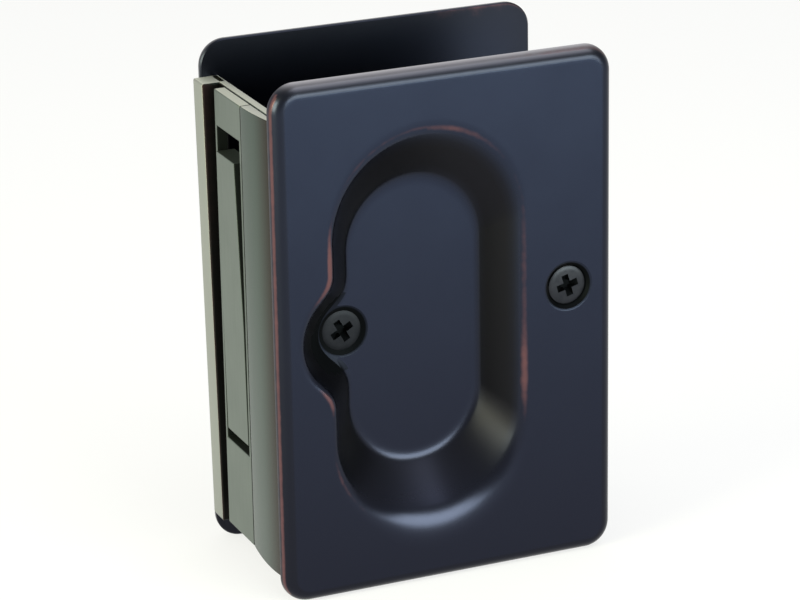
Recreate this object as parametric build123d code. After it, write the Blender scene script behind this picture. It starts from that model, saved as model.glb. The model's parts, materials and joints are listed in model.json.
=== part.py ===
"""Adjustable passage set for a pocket door, in millimetres, +Z up.

Two dished plates with finger cups grip a notch in the edge of the door. The front casting carries the edge
wall and its pull lever, and two tongues of the rear casting slide behind that wall to suit the door.
X runs along the face of the door, away from its edge, and Y runs through the door from front to rear.
The origin is under the middle of the set, on the level of the plates' lower edges.
"""
import os
from math import atan2, cos, sqrt

from build123d import *

# The range of doors, with the model set to the thinnest
thin_door = 34.9
thick_door = 44.5

# Face plates
plate_width = 71.0
plate_height = 105.0
plate_thickness = 3.2
plate_corner = 5.4
plate_edge_round = 2.6

# Finger cup, sized where its slope meets the face of the plate and at its floor
cup_rim_width = 40.0
cup_rim_height = 81.0
cup_floor_width = 27.6
cup_floor_height = 60.0
cup_depth = 8.7
cup_wall = 1.8
cup_from_edge = 31.4
cup_rim_round = 3.4
cup_floor_round = 2.6
scallop_radius = 11.8
scallop_floor_radius = 5.0
scallop_rise = 1.0
scallop_blend = 3.0

# Clamp screws in the cup floors, and the threaded sleeve between them
clamp_from_edge = 16.7
clamp_drop = 0.6
clamp_shank = 4.1
clamp_head = 8.2
clamp_head_height = 1.4
clamp_sink = 0.4
clamp_bite = 5.0
sleeve_diameter = 8.0
sleeve_length = 18.0
thread_clearance = 0.06
tip_gap = 0.6

# Wood screws that hold the far side of each plate, staggered to pass each other in a thin door
wood_from_edge = 61.2
wood_rise = 4.6
wood_thread = 4.0
wood_neck = 4.2
wood_neck_length = 1.4
wood_head = 7.8
wood_head_height = 2.2
wood_sink = 0.85
wood_length = 17.0
wood_point = 5.0
wood_tip = 0.5

# Holes and cross recesses shared by all countersunk screws
hole_clearance = 0.25
recess_reach = 0.58
recess_width = 1.1
recess_depth = 1.0

# Edge wall: the curved flange of the front casting and the short lip of the rear one
edge_height = 90.6
flange_width = 12.5
flange_drop = 1.2
flange_root = 1.6
lip_width = 4.9
lip_proud = 1.0
edge_round = 0.4

# Flat plate between flange and lip, with the window for the pull lever
seam_gap = 0.15
panel_proud = 0.45
panel_thickness = 2.2
panel_width = 13.6
stile = 0.8
window_rise = 18.6
window_height = 64.7
tab_reach = 9.0
tab_height = 52.0
tab_thickness = 1.6
tab_screw_spacing = 34.0
tab_screw_inset = 4.5

# Small round-headed screws inside: shank, head and head height of each, then their bite and their dome
tab_screw = (2.4, 4.4, 1.3)
guide_screw = (2.2, 4.2, 1.3)
spring_screw_size = (2.0, 3.8, 1.2)
blind_bite = 1.2
head_dome = 0.6

# Tongues of the rear casting, slotted for the guide screws
tongue_height = 6.1
tongue_thickness = 1.8
tongue_reach = 30.5
slide_clearance = 0.25
guide_from_seam = 7.4
tongue_lead = 0.6

# Pull lever with its pivot in two lugs of the flat plate
lever_side_gap = 0.4
lever_finger_gap = 4.9
lever_foot_gap = 2.1
lever_thickness = 2.0
lever_lean = 0.5
lever_lip = 3.4
lever_boss = 5.0
lever_neck = 4.0
pin_diameter = 2.5
pin_clearance = 0.05
pin_chamfer = 0.25
pivot_rise = 3.4
pivot_depth = 3.6
lug_thickness = 2.0
lug_radius = 3.0

# Leaf spring that returns the lever
spring_thickness = 0.45
spring_width = 6.0
spring_foot = 9.0
spring_foot_drop = 1.2
spring_tip_rise = 0.5
spring_tip_gap = 0.25

# Places worked out from the sizes above
front_seat = -thin_door / 2
rear_seat = thin_door / 2
slide_travel = thick_door - thin_door
plate_left = (lip_proud - plate_width) / 2
plate_mid_x = plate_left + plate_width / 2
mid_z = plate_height / 2
cup_slope = atan2((cup_rim_width - cup_floor_width) / 2, cup_depth)
cup_x = plate_left + cup_from_edge
floor_depth = cup_depth - plate_thickness
floor_back = floor_depth + cup_wall
clamp_x = plate_left + clamp_from_edge
clamp_z = mid_z - clamp_drop
clamp_seat = floor_depth + clamp_sink
wood_x = plate_left + wood_from_edge
front_wood_z = mid_z + wood_rise
rear_wood_z = mid_z - wood_rise
edge_base = mid_z - edge_height / 2
edge_top = mid_z + edge_height / 2
panel_face = plate_left - panel_proud
panel_back = panel_face + panel_thickness
panel_front = front_seat + flange_width + seam_gap
panel_rear = panel_front + panel_width
panel_mid_y = (panel_front + panel_rear) / 2
window_base = edge_base + window_rise
window_top = window_base + window_height
window_front = panel_front + stile
window_rear = panel_rear - stile
tab_back = panel_back + tab_thickness
tab_screw_y = panel_front - tab_screw_inset
tab_screw_levels = (mid_z - tab_screw_spacing / 2, mid_z + tab_screw_spacing / 2)
tongue_face = panel_back + slide_clearance
tongue_back = tongue_face + tongue_thickness
tongue_tip = rear_seat - tongue_reach
tongue_levels = (edge_base + tongue_height / 2, edge_top - tongue_height / 2)
guide_y = panel_front + guide_from_seam
lever_base = window_base + lever_foot_gap
lever_top = window_top - lever_finger_gap
lever_front = window_front + lever_side_gap
lever_rear = window_rear - lever_side_gap
lever_back = panel_face + lever_thickness
pivot_x = panel_face + pivot_depth
pivot_z = lever_base + pivot_rise
spring_top = lever_base + spring_tip_rise
spring_base = window_base - spring_foot_drop - spring_foot
spring_screw_z = spring_base + spring_foot / 2


def outward(depth=0.0):
    """Sketch plane parallel to the plates, depth behind the front plate's seat, facing out of the door."""
    return Plane(origin=(0, front_seat + depth, 0), x_dir=(1, 0, 0), z_dir=(0, -1, 0))


def inward(x, z, depth=0.0):
    """Sketch plane centred on one feature of the front plate, facing into the door."""
    return Plane(origin=(x, front_seat + depth, z), x_dir=(1, 0, 0), z_dir=(0, 1, 0))


def block(x, y, z):
    """Box between pairs of limits along X, Y and Z."""
    size = [high - low for low, high in (x, y, z)]
    middle = [(low + high) / 2 for low, high in (x, y, z)]
    return Pos(*middle) * Box(*size)


def through_bar(x, z, radius, start, end):
    """Round bar through the door, between two places along Y."""
    return Pos(x, (start + end) / 2, z) * Rot(X=90) * Cylinder(radius, end - start)


def cross_bar(y, z, radius, start, end):
    """Round bar along the face of the door, between two places along X."""
    return Pos((start + end) / 2, y, z) * Rot(Y=90) * Cylinder(radius, end - start)


def to_rear(shape):
    """The same piece on the rear face of the door."""
    return mirror(shape, about=Plane.XZ)


def on_level(edge, y):
    """Whether an edge lies in one plane parallel to the plates."""
    return all(abs((edge @ place).Y - y) < 0.01 for place in (0, 0.3, 0.7, 1))


def cup_section(depth, grow):
    """Oval and scallop of the finger cup at one depth, grown all round; the scallop leans up outwards."""
    share = (depth + plate_thickness) / cup_depth
    width = cup_rim_width + share * (cup_floor_width - cup_rim_width) + 2 * grow
    height = cup_rim_height + share * (cup_floor_height - cup_rim_height) + 2 * grow
    radius = scallop_radius + share * (scallop_floor_radius - scallop_radius) + grow
    oval = inward(cup_x, mid_z, depth) * SlotOverall(height, width, rotation=90)
    scallop = inward(clamp_x, clamp_z + scallop_rise * (1 - share), depth) * Circle(radius)
    return oval.face(), scallop.face()


def cup_block(start, grow, end):
    """Oval that narrows inwards, with the scallop for the clamp screw, between two depths."""
    oval, scallop = zip(cup_section(start, grow), cup_section(end, grow))
    return loft(oval, ruled=True) + loft(scallop, ruled=True)


def cup_hollow():
    """The hollow of the finger cup, its ridges beside the scallop blended and its floor rounded."""
    hollow = cup_block(-plate_thickness, 0, floor_depth)
    rim_y = front_seat - plate_thickness
    floor_y = front_seat + floor_depth
    slanted = [e for e in hollow.edges() if not on_level(e, rim_y) and not on_level(e, floor_y)]
    ridges = [e for e in slanted if abs(e.center().Z - clamp_z) < scallop_radius and e.center().X < cup_x]
    hollow = fillet(ridges, scallop_blend)
    return fillet([e for e in hollow.edges() if on_level(e, floor_y)], cup_floor_round)


def sink(x, z, seat, shank, head, head_height, sunk, end):
    """Countersunk hole, from a seat on the front plate inwards to an end depth."""
    slope = (head - shank) / 2 / head_height
    mouth = head / 2 + hole_clearance + sunk * slope
    height = head_height + sunk
    cone = inward(x, z, seat + height / 2) * Cone(mouth, shank / 2 + hole_clearance, height)
    return cone + through_bar(x, z, shank / 2 + hole_clearance, front_seat + seat, front_seat + end)


def dished_plate(wood_z):
    """Pillow-edged front plate with its finger cup and countersunk holes, the wood screw's at a level."""
    outline = RectangleRounded(plate_width, plate_height, plate_corner)
    plate = extrude(outward() * Pos(plate_mid_x, mid_z) * outline, plate_thickness)
    plate = fillet(plate.faces().sort_by(Axis.Y)[0].edges(), plate_edge_round)
    plate += cup_block(0, cup_wall / cos(cup_slope), floor_back)
    plate -= cup_hollow()
    rim = plate.faces().sort_by(Axis.Y)[0].inner_wires()[0]
    plate = fillet(rim.edges(), cup_rim_round)
    clamp_sizes = (clamp_shank, clamp_head, clamp_head_height, clamp_sink)
    plate -= sink(clamp_x, clamp_z, floor_depth, *clamp_sizes, floor_back)
    wood_sizes = (wood_neck, wood_head, wood_head_height, wood_sink)
    return plate - sink(wood_x, wood_z, -plate_thickness, *wood_sizes, 0)


def flange_face(distance):
    """Outer face of the flange at a distance from its plate: level with the flat plate only at the seam."""
    radius = (flange_width ** 2 + flange_drop ** 2) / (2 * flange_drop)
    return panel_face + radius - sqrt(radius ** 2 - (flange_width - distance) ** 2)


def flange():
    """Edge of the front casting, curved outside and flat behind, with a thicker root at its plate."""
    start, middle, seam = [
        (flange_face(distance), front_seat + distance) for distance in (0, flange_width / 2, flange_width)
    ]
    arc = ThreePointArc(start, middle, seam)
    root_back = panel_back + flange_root
    back_line = Polyline(
        seam,
        (panel_back, front_seat + flange_width),
        (panel_back, front_seat + flange_root),
        (root_back, front_seat + flange_root),
        (root_back, front_seat),
        start,
    )
    edge = extrude(Plane.XY.offset(edge_base) * make_face([arc, back_line]), edge_height)
    ends = edge.faces().sort_by(Axis.Z)
    return fillet([ends[0].edges().sort_by(Axis.X)[0], ends[-1].edges().sort_by(Axis.X)[0]], edge_round)


def lip():
    """Short edge of the rear casting, which stands out of the side of its plate."""
    depth = (plate_left - lip_proud, tongue_back)
    edge = block(depth, (rear_seat - lip_width, rear_seat), (edge_base, edge_top))
    outer = edge.faces().sort_by(Axis.X)[0]
    return fillet(outer.edges(), edge_round)


def front_casting():
    """Front plate and the flange that wraps the edge of the door, with blind holes for the tab."""
    casting = dished_plate(front_wood_z) + flange()
    for z in tab_screw_levels:
        casting -= blind_hole(tab_screw_y, z, tab_screw)
    return casting


def blind_hole(y, z, screw):
    """Hole for a small screw, in the back of the edge wall."""
    radius = screw[0] / 2 + thread_clearance
    return cross_bar(y, z, radius, panel_back - blind_bite - thread_clearance, panel_back)


def small_screw(y, z, screw, seat):
    """Round-headed screw that bites into the edge wall and holds down what lies against its seat."""
    shank, head, head_height = screw
    body = cross_bar(y, z, shank / 2, panel_back - blind_bite, seat)
    cap = cross_bar(y, z, head / 2, seat, seat + head_height)
    top = cap.faces().sort_by(Axis.X)[-1]
    return body + fillet(top.edges(), head_height * head_dome)


def tongue(z):
    """Flat tongue of the rear casting, slotted for its guide screw over the whole travel."""
    half = tongue_height / 2
    bar = block((tongue_face, tongue_back), (tongue_tip, rear_seat), (z - half, z + half))
    bar = chamfer(bar.edges().filter_by(Axis.Z).group_by(Axis.Y)[0], tongue_lead)
    radius = guide_screw[0] / 2 + hole_clearance
    for y in (guide_y - slide_travel, guide_y):
        bar -= cross_bar(y, z, radius, tongue_face, tongue_back)
    travel = (guide_y - slide_travel, guide_y)
    return bar - block((tongue_face, tongue_back), travel, (z - radius, z + radius))


def rear_casting():
    """Rear plate with its short lip and the two tongues that slide behind the edge wall."""
    casting = to_rear(dished_plate(rear_wood_z)) + lip()
    for z in tongue_levels:
        casting += tongue(z)
    return casting


def pivot_lug(start, end):
    """Rounded lug behind the flat plate, with the hole for the lever's pin."""
    height = (pivot_z - lug_radius, pivot_z + lug_radius)
    ear = block((panel_back, pivot_x), (start, end), height)
    rounded = through_bar(pivot_x, pivot_z, lug_radius, start, end)
    ear += rounded & block((pivot_x, pivot_x + lug_radius), (start, end), height)
    return ear - through_bar(pivot_x, pivot_z, pin_diameter / 2 + pin_clearance, start, end)


def edge_plate():
    """Flat plate with the lever's window, a tab behind the flange and two pivot lugs."""
    plate = block((panel_face, panel_back), (panel_front, panel_rear), (edge_base, edge_top))
    outer = plate.faces().sort_by(Axis.X)[0]
    plate = fillet(outer.edges(), edge_round)
    through = (panel_face - edge_round, panel_back + edge_round)
    plate -= block(through, (window_front, window_rear), (window_base, window_top))
    tab_span = (mid_z - tab_height / 2, mid_z + tab_height / 2)
    plate += block((panel_back, tab_back), (panel_front - tab_reach, window_front), tab_span)
    plate += pivot_lug(window_front - lug_thickness, window_front)
    plate += pivot_lug(window_rear, window_rear + lug_thickness)
    pin_bore = pin_diameter / 2 + pin_clearance
    plate -= through_bar(pivot_x, pivot_z, pin_bore, panel_front - tab_reach, window_front)
    for z in tab_screw_levels:
        plate -= cross_bar(tab_screw_y, z, tab_screw[0] / 2 + hole_clearance, panel_back, tab_back)
    for z in tongue_levels:
        plate -= blind_hole(guide_y, z, guide_screw)
    return plate - blind_hole(panel_mid_y, spring_screw_z, spring_screw_size)


def pull_lever():
    """Bar in the window that stands out a little at its top, with a finger lip there and a pivot boss below."""
    width = (lever_front, lever_rear)
    side = Polyline(
        (panel_face, lever_front, lever_base),
        (panel_face - lever_lean, lever_front, lever_top),
        (lever_back, lever_front, lever_top),
        (lever_back, lever_front, lever_base),
        close=True,
    )
    lever = extrude(make_face(side), lever_rear - lever_front, dir=(0, 1, 0))
    lever += block((lever_back, panel_face + lever_lip), width, (lever_top - lever_thickness, lever_top))
    lever += through_bar(pivot_x, pivot_z, lever_boss / 2, *width)
    lever += block((lever_back, pivot_x), width, (pivot_z - lever_neck / 2, pivot_z + lever_neck / 2))
    lever -= through_bar(pivot_x, pivot_z, pin_diameter / 2 + pin_clearance, *width)
    ends = lever.faces().sort_by(Axis.X)[0].edges().filter_by(Axis.Y)
    return fillet(ends, edge_round)


def lever_pin():
    """Plain pin through both lugs and the lever's boss."""
    start = window_front - lug_thickness
    pin = through_bar(pivot_x, pivot_z, pin_diameter / 2, start, window_rear + lug_thickness)
    return chamfer(pin.edges().filter_by(GeomType.CIRCLE), pin_chamfer)


def lever_spring():
    """Leaf spring: a flat foot on the plate and a blade that bears on the lever below its pin."""
    tip_x = lever_back + spring_tip_gap
    line = Polyline(
        (panel_back, 0, spring_base),
        (panel_back, 0, spring_base + spring_foot),
        (tip_x, 0, spring_top),
        (tip_x + spring_thickness, 0, spring_top),
        (panel_back + spring_thickness, 0, spring_base + spring_foot),
        (panel_back + spring_thickness, 0, spring_base),
        close=True,
    )
    blade = extrude(make_face(line), spring_width / 2, dir=(0, 1, 0), both=True)
    radius = spring_screw_size[0] / 2 + hole_clearance
    hole = cross_bar(0, spring_screw_z, radius, panel_back, panel_back + spring_thickness)
    return Pos(0, panel_mid_y, 0) * (blade - hole)


def spring_screw():
    """Small screw through the spring's foot."""
    return small_screw(panel_mid_y, spring_screw_z, spring_screw_size, panel_back + spring_thickness)


def tab_screw_at(z):
    """Small screw that holds the tab of the flat plate behind the flange."""
    return small_screw(tab_screw_y, z, tab_screw, tab_back)


def guide_screw_at(z):
    """Small screw that stands in a tongue's slot, its head clear of the tongue."""
    return small_screw(guide_y, z, guide_screw, tongue_back + slide_clearance)


def cross_recess(x, z, seat, head):
    """Cross recess in a screw's head."""
    reach = head * recess_reach / 2
    half = recess_width / 2
    deep = (front_seat + seat, front_seat + seat + recess_depth)
    upright = block((x - half, x + half), deep, (z - reach, z + reach))
    return upright + block((x - reach, x + reach), deep, (z - half, z + half))


def screw_head(x, z, seat, shank, head, head_height):
    """Countersunk head with its cross recess."""
    cone = inward(x, z, seat + head_height / 2) * Cone(head / 2, shank / 2, head_height)
    return cone - cross_recess(x, z, seat, head)


def clamp_screw(tip):
    """Machine screw from the floor of the front cup to a tip depth."""
    head = screw_head(clamp_x, clamp_z, clamp_seat, clamp_shank, clamp_head, clamp_head_height)
    start = front_seat + clamp_seat + clamp_head_height
    return head + through_bar(clamp_x, clamp_z, clamp_shank / 2, start, front_seat + tip)


def front_clamp_screw():
    """Short clamp screw on the front face."""
    return clamp_screw(floor_back + clamp_bite)


def rear_clamp_screw():
    """Long clamp screw on the rear face, which runs in the sleeve over the whole travel."""
    return to_rear(clamp_screw(thin_door - floor_back - clamp_bite - tip_gap))


def clamp_sleeve():
    """Threaded sleeve that stands on the back of the front cup's floor."""
    start = front_seat + floor_back
    end = start + sleeve_length
    sleeve = through_bar(clamp_x, clamp_z, sleeve_diameter / 2, start, end)
    sleeve = chamfer(sleeve.edges().filter_by(GeomType.CIRCLE), edge_round)
    return sleeve - through_bar(clamp_x, clamp_z, clamp_shank / 2 + thread_clearance, start, end)


def wood_screw(wood_z):
    """Countersunk wood screw with a tapered neck and point, in the front plate at a level."""
    seat = wood_sink - plate_thickness
    head = screw_head(wood_x, wood_z, seat, wood_neck, wood_head, wood_head_height)
    neck_middle = seat + wood_head_height + wood_neck_length / 2
    neck = inward(wood_x, wood_z, neck_middle) * Cone(wood_neck / 2, wood_thread / 2, wood_neck_length)
    thread_start = front_seat + neck_middle + wood_neck_length / 2
    end = seat + wood_length
    thread = through_bar(wood_x, wood_z, wood_thread / 2, thread_start, front_seat + end - wood_point)
    point = inward(wood_x, wood_z, end - wood_point / 2) * Cone(wood_thread / 2, wood_tip / 2, wood_point)
    return head + neck + thread + point


pieces = {
    "front_casting": front_casting(),
    "rear_casting": rear_casting(),
    "edge_plate": edge_plate(),
    "pull_lever": pull_lever(),
    "lever_pin": lever_pin(),
    "lever_spring": lever_spring(),
    "spring_screw": spring_screw(),
    "clamp_sleeve": clamp_sleeve(),
    "front_clamp_screw": front_clamp_screw(),
    "rear_clamp_screw": rear_clamp_screw(),
    "front_wood_screw": wood_screw(front_wood_z),
    "rear_wood_screw": to_rear(wood_screw(rear_wood_z)),
}
for place, tab_level, tongue_level in zip(("lower", "upper"), tab_screw_levels, tongue_levels):
    pieces[f"{place}_tab_screw"] = tab_screw_at(tab_level)
    pieces[f"{place}_guide_screw"] = guide_screw_at(tongue_level)

os.makedirs("parts", exist_ok=True)
for name, piece in pieces.items():
    export_step(piece, f"parts/{name}.step")
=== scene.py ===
"""Adjustable pocket door passage set in dark oil-rubbed bronze: its pieces, finishes, light and camera.

Sizes are millimetres in the frame of the part: X along the door's face away from its edge, Y through the
door to the rear plate, Z up. Meshes are written in metres.
"""
import json
from math import acos, atan2, cos, pi, radians, sin, tan

import bmesh
import bpy
import numpy as np
from mathutils import Matrix, Vector


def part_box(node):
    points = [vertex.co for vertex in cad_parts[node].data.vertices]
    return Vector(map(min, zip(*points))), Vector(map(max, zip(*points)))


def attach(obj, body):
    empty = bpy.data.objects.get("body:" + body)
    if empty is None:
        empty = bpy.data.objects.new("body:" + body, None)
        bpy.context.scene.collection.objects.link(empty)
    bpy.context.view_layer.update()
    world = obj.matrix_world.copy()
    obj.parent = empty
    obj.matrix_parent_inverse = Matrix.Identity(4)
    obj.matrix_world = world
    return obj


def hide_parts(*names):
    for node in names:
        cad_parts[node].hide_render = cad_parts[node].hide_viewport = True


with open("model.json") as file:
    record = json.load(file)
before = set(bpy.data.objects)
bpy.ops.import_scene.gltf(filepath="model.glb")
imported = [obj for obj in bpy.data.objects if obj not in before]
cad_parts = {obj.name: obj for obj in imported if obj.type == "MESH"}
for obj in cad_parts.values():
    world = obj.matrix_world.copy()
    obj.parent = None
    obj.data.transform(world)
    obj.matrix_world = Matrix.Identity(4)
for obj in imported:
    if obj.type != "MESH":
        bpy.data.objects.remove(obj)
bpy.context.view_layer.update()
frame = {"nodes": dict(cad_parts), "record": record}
scene = bpy.context.scene
MM = 0.001


def node_box(name):
    """Lowest and highest corner of a node of the part, in millimetres."""
    low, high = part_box(name)
    return [value / MM for value in low], [value / MM for value in high]


def node_middle(name):
    """Middle of a node of the part, in millimetres."""
    low, high = node_box(name)
    return [(a + b) / 2 for a, b in zip(low, high)]


# Face plate, pillow edge and back edge
front_low, front_high = node_box("front_casting")
rear_low, rear_high = node_box("rear_casting")
plate_thickness = 3.2
plate_corner = 5.4
pillow = 2.6
back_bevel = 0.25
plate_width = 71.0
plate_right = front_high[0]
plate_left = plate_right - plate_width
plate_top = front_high[2]
plate_mid_x = (plate_left + plate_right) / 2
mid_z = plate_top / 2
front_seat = front_low[1] + plate_thickness
rear_seat = rear_high[1] - plate_thickness

# Finger cup and its scallop, sized where the slope meets the face and at the floor
cup_half_width = 20.0
cup_half_height = 40.5
cup_depth = 8.7
cup_inset = 6.2
cup_floor_half_height = 28.9
cup_wall = 1.8
cup_from_edge = 31.4
cup_x = plate_left + cup_from_edge
rim_round = 2.2
rim_softness = 2.6
floor_round = 2.0
scallop_radius = 11.8
scallop_floor_radius = 5.0
scallop_rise = 1.0
scallop_blend = 3.0
scallop_floor_blend = 7.0
cup_steepness = atan2(cup_depth, cup_inset)
floor_depth = cup_depth - plate_thickness
floor_back = floor_depth + cup_wall

# Screws seen on the faces, how far their heads are sunk and the room round them
clamp_x, _, clamp_z = node_middle("front_clamp_screw")
clamp_radius = 2.05
clamp_head = 4.1
clamp_head_height = 1.4
clamp_sink = 0.4
clamp_clearance = 0.25
clamp_pitch = 0.8
clamp_tooth = 0.3
wood_x, _, front_wood_z = node_middle("front_wood_screw")
rear_wood_z = node_middle("rear_wood_screw")[2]
wood_length = 17.0
wood_radius = 2.0
wood_core = 1.35
wood_neck = 2.1
wood_neck_length = 1.4
wood_run_in = 0.9
wood_head = 3.9
wood_head_height = 2.2
wood_sink = 0.4
wood_point = 5.0
wood_tip = 0.25
wood_clearance = 0.55
wood_pitch = 1.9
wood_tooth = 0.5
head_dome = 0.22
cross_width = 1.45
cross_depth = 1.5
cross_reach = 0.62
screw_turns = {"front": (0.27, 0.5), "rear": (1.0, 0.2)}

# Small inner screws at their full size
small_head = 2.1
small_head_height = 1.3
small_shank = 1.05
small_reach = 2.0

# Edge wall: curved flange, flat plate with its window, and the lip, which leans out at its top
panel_low, panel_high = node_box("edge_plate")
edge_base = panel_low[2]
edge_top = panel_high[2]
flange_width = 12.5
flange_drop = 1.2
flange_foot = 2.2
lip_face = rear_low[0]
lip_width = 4.9
lip_lean = 0.5
lip_tuck = 0.6
lip_foot = 1.4
panel_face = panel_low[0]
panel_thickness = 2.2
panel_back = panel_face + panel_thickness
panel_width = 13.6
seam = 0.15
panel_front = front_seat + flange_width + seam
panel_rear = panel_front + panel_width
stile = 0.8
window_rise = 18.6
window_height = 64.7
window_base = edge_base + window_rise
window_top = window_base + window_height
window_front = panel_front + stile
window_rear = panel_rear - stile
tab_front = panel_low[1]
tab_thickness = 1.6
tab_half_height = 26.0
edge_soft = 0.2
lip_soft = 0.45
tongue_soft = 0.3

# How far shapes reach into what they join, and how far cutters reach past what they cut
overlap = 0.4
margin = 1.0

# Tongues of the rear casting
tongue_gap = 0.25
tongue_thickness = 1.8
tongue_face = panel_back + tongue_gap
tongue_back = tongue_face + tongue_thickness
tongue_tip = rear_low[1]
tongue_height = 6.1
guide_y = node_middle("upper_guide_screw")[1]
guide_slot = 1.35
slide_travel = frame["record"]["behaviour"]["joints"][0]["range_m"][1] / MM

# Pull lever, tapered on its front side above a knee, and its pivot
lever_low, lever_high = node_box("pull_lever")
lever_thickness = 2.0
lever_lean = 0.5
lever_knee = 0.43
lever_taper = 1.6
lever_lip = 3.4
lever_boss = 2.5
pivot_x, _, pivot_z = node_middle("lever_pin")
lug_radius = 3.0
lug_thickness = 2.0


class Shell:
    """Vertices and faces in millimetres that end up as one object in metres."""

    def __init__(self, points=(), faces=()):
        self.points = list(points)
        self.faces = list(faces)

    def build(self, name, sharp=35.0, bevel=0.0):
        """Make the object, with outward faces, bevelled edges where asked and sharp edges past an angle."""
        mesh = bpy.data.meshes.new(name)
        mesh.from_pydata([Vector(point) * MM for point in self.points], [], self.faces)
        shape = bmesh.new()
        shape.from_mesh(mesh)
        bmesh.ops.recalc_face_normals(shape, faces=shape.faces)
        if bevel:
            edges = [e for e in shape.edges if e.calc_face_angle() > radians(30)]
            settings = {"segments": 3, "profile": 0.5, "affect": "EDGES", "clamp_overlap": True}
            bmesh.ops.bevel(shape, geom=edges, offset=bevel * MM, **settings)
        mark_sharp(shape, sharp)
        shape.to_mesh(mesh)
        shape.free()
        piece = bpy.data.objects.new(name, mesh)
        scene.collection.objects.link(piece)
        return piece


def mark_sharp(shape, angle):
    """Smooth faces, with edges sharp where the surface turns by more than an angle."""
    for face in shape.faces:
        face.smooth = True
    for edge in shape.edges:
        edge.smooth = not (edge.is_manifold and edge.calc_face_angle() > radians(angle))


def apply_modifiers(piece):
    """Turn a piece's modifiers into plain mesh."""
    graph = bpy.context.evaluated_depsgraph_get()
    mesh = bpy.data.meshes.new_from_object(piece.evaluated_get(graph))
    piece.modifiers.clear()
    old = piece.data
    piece.data = mesh
    bpy.data.meshes.remove(old)


def discard(piece):
    """Delete an object and its mesh."""
    mesh = piece.data
    bpy.data.objects.remove(piece)
    bpy.data.meshes.remove(mesh)


def cut(piece, cutters, sharp=30.0):
    """Cut other shapes out of a piece for good, delete them, and mark its sharp edges again."""
    for cutter in cutters:
        change = piece.modifiers.new("cut", "BOOLEAN")
        change.operation = "DIFFERENCE"
        change.solver = "EXACT"
        change.object = cutter
    apply_modifiers(piece)
    for cutter in cutters:
        discard(cutter)
    shape = bmesh.new()
    shape.from_mesh(piece.data)
    mark_sharp(shape, sharp)
    shape.to_mesh(piece.data)
    shape.free()


def soften(piece, width):
    """Round the edges of a piece that has been cut."""
    change = piece.modifiers.new("soft", "BEVEL")
    change.width = width * MM
    change.segments = 3
    change.limit_method = "ANGLE"
    change.angle_limit = radians(30)
    apply_modifiers(piece)


def join(name, parts):
    """One object from several finished ones."""
    whole = bmesh.new()
    for part in parts:
        whole.from_mesh(part.data)
        discard(part)
    mesh = bpy.data.meshes.new(name)
    whole.to_mesh(mesh)
    whole.free()
    piece = bpy.data.objects.new(name, mesh)
    scene.collection.objects.link(piece)
    return piece


def ring_faces(rings, count):
    """Quads between rings of equal count, with fans to two points that follow them at the ends."""
    faces = []
    for ring in range(rings - 1):
        for place in range(count):
            a = ring * count + place
            b = ring * count + (place + 1) % count
            faces.append((a, b, b + count, a + count))
    tail = (rings - 1) * count
    for place in range(count):
        after = (place + 1) % count
        faces.append((rings * count, after, place))
        faces.append((rings * count + 1, tail + place, tail + after))
    return faces


def prism(outline, low, high, place):
    """Shell of an outline drawn between two levels, with place giving a point from (a, b, level)."""
    count = len(outline)
    points = [place(a, b, level) for level in (low, high) for a, b in outline]
    faces = [tuple(range(count)), tuple(range(2 * count - 1, count - 1, -1))]
    for index in range(count):
        after = (index + 1) % count
        faces.append((index, index + count, after + count, after))
    return Shell(points, faces)


def upright(x, y, z):
    """Outline in plan, drawn up Z."""
    return x, y, z


def through(x, z, y):
    """Outline parallel to the plates, drawn through the door."""
    return x, y, z


def across(y, z, x):
    """Outline parallel to the door's edge, drawn away from it."""
    return x, y, z


def block(x, y, z):
    """Shell of a box between pairs of limits."""
    outline = ((x[0], y[0]), (x[1], y[0]), (x[1], y[1]), (x[0], y[1]))
    return prism(outline, z[0], z[1], upright)


def turned(profile, x, z, start, side, count=72):
    """Shell turned about an axis along Y: radius and distance from a start, inwards on a side."""
    points = []
    for radius, along in profile:
        for place in range(count):
            turn = 2 * pi * place / count
            points.append((x + radius * cos(turn), start + side * along, z + radius * sin(turn)))
    points.append((x, start + side * profile[0][1], z))
    points.append((x, start + side * profile[-1][1], z))
    return Shell(points, ring_faces(len(profile), count))


def arc(middle, radius, start, end, steps):
    """Points of an arc between two angles."""
    turns = [start + (end - start) * step / steps for step in range(steps + 1)]
    return [(middle[0] + radius * cos(turn), middle[1] + radius * sin(turn)) for turn in turns]


def between(start, end, share):
    """Part of the way between two numbers, points or rings."""
    return start + (end - start) * share


def cup_distance(x, z, share=0.0):
    """Signed distance from the cup's outline at a share of its depth, its oval blended into the scallop."""
    half_width = cup_half_width - cup_inset * share
    half_height = between(cup_half_height, cup_floor_half_height, share)
    beyond = np.maximum(np.abs(z - mid_z) - (half_height - half_width), 0)
    oval = np.hypot(x - cup_x, beyond) - half_width
    rise = scallop_rise * (1 - share)
    scallop = np.hypot(x - clamp_x, z - clamp_z - rise) - between(scallop_radius, scallop_floor_radius, share)
    blend = between(scallop_blend, scallop_floor_blend, share)
    mix = np.clip(0.5 + 0.5 * (scallop - oval) / blend, 0, 1)
    return scallop * (1 - mix) + oval * mix - blend * mix * (1 - mix)


def plate_distance(x, z, inset=0.0):
    """Signed distance from the rounded outline of the plate, or from one set in by some way."""
    reach_x = np.abs(x - plate_mid_x) - plate_width / 2 + plate_corner
    reach_z = np.abs(z - mid_z) - plate_top / 2 + plate_corner
    outside = np.hypot(np.maximum(reach_x, 0), np.maximum(reach_z, 0))
    return outside + np.minimum(np.maximum(reach_x, reach_z), 0) - plate_corner + inset


RAYS = 840
ray_angles = np.linspace(0, 2 * pi, RAYS, endpoint=False)


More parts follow.
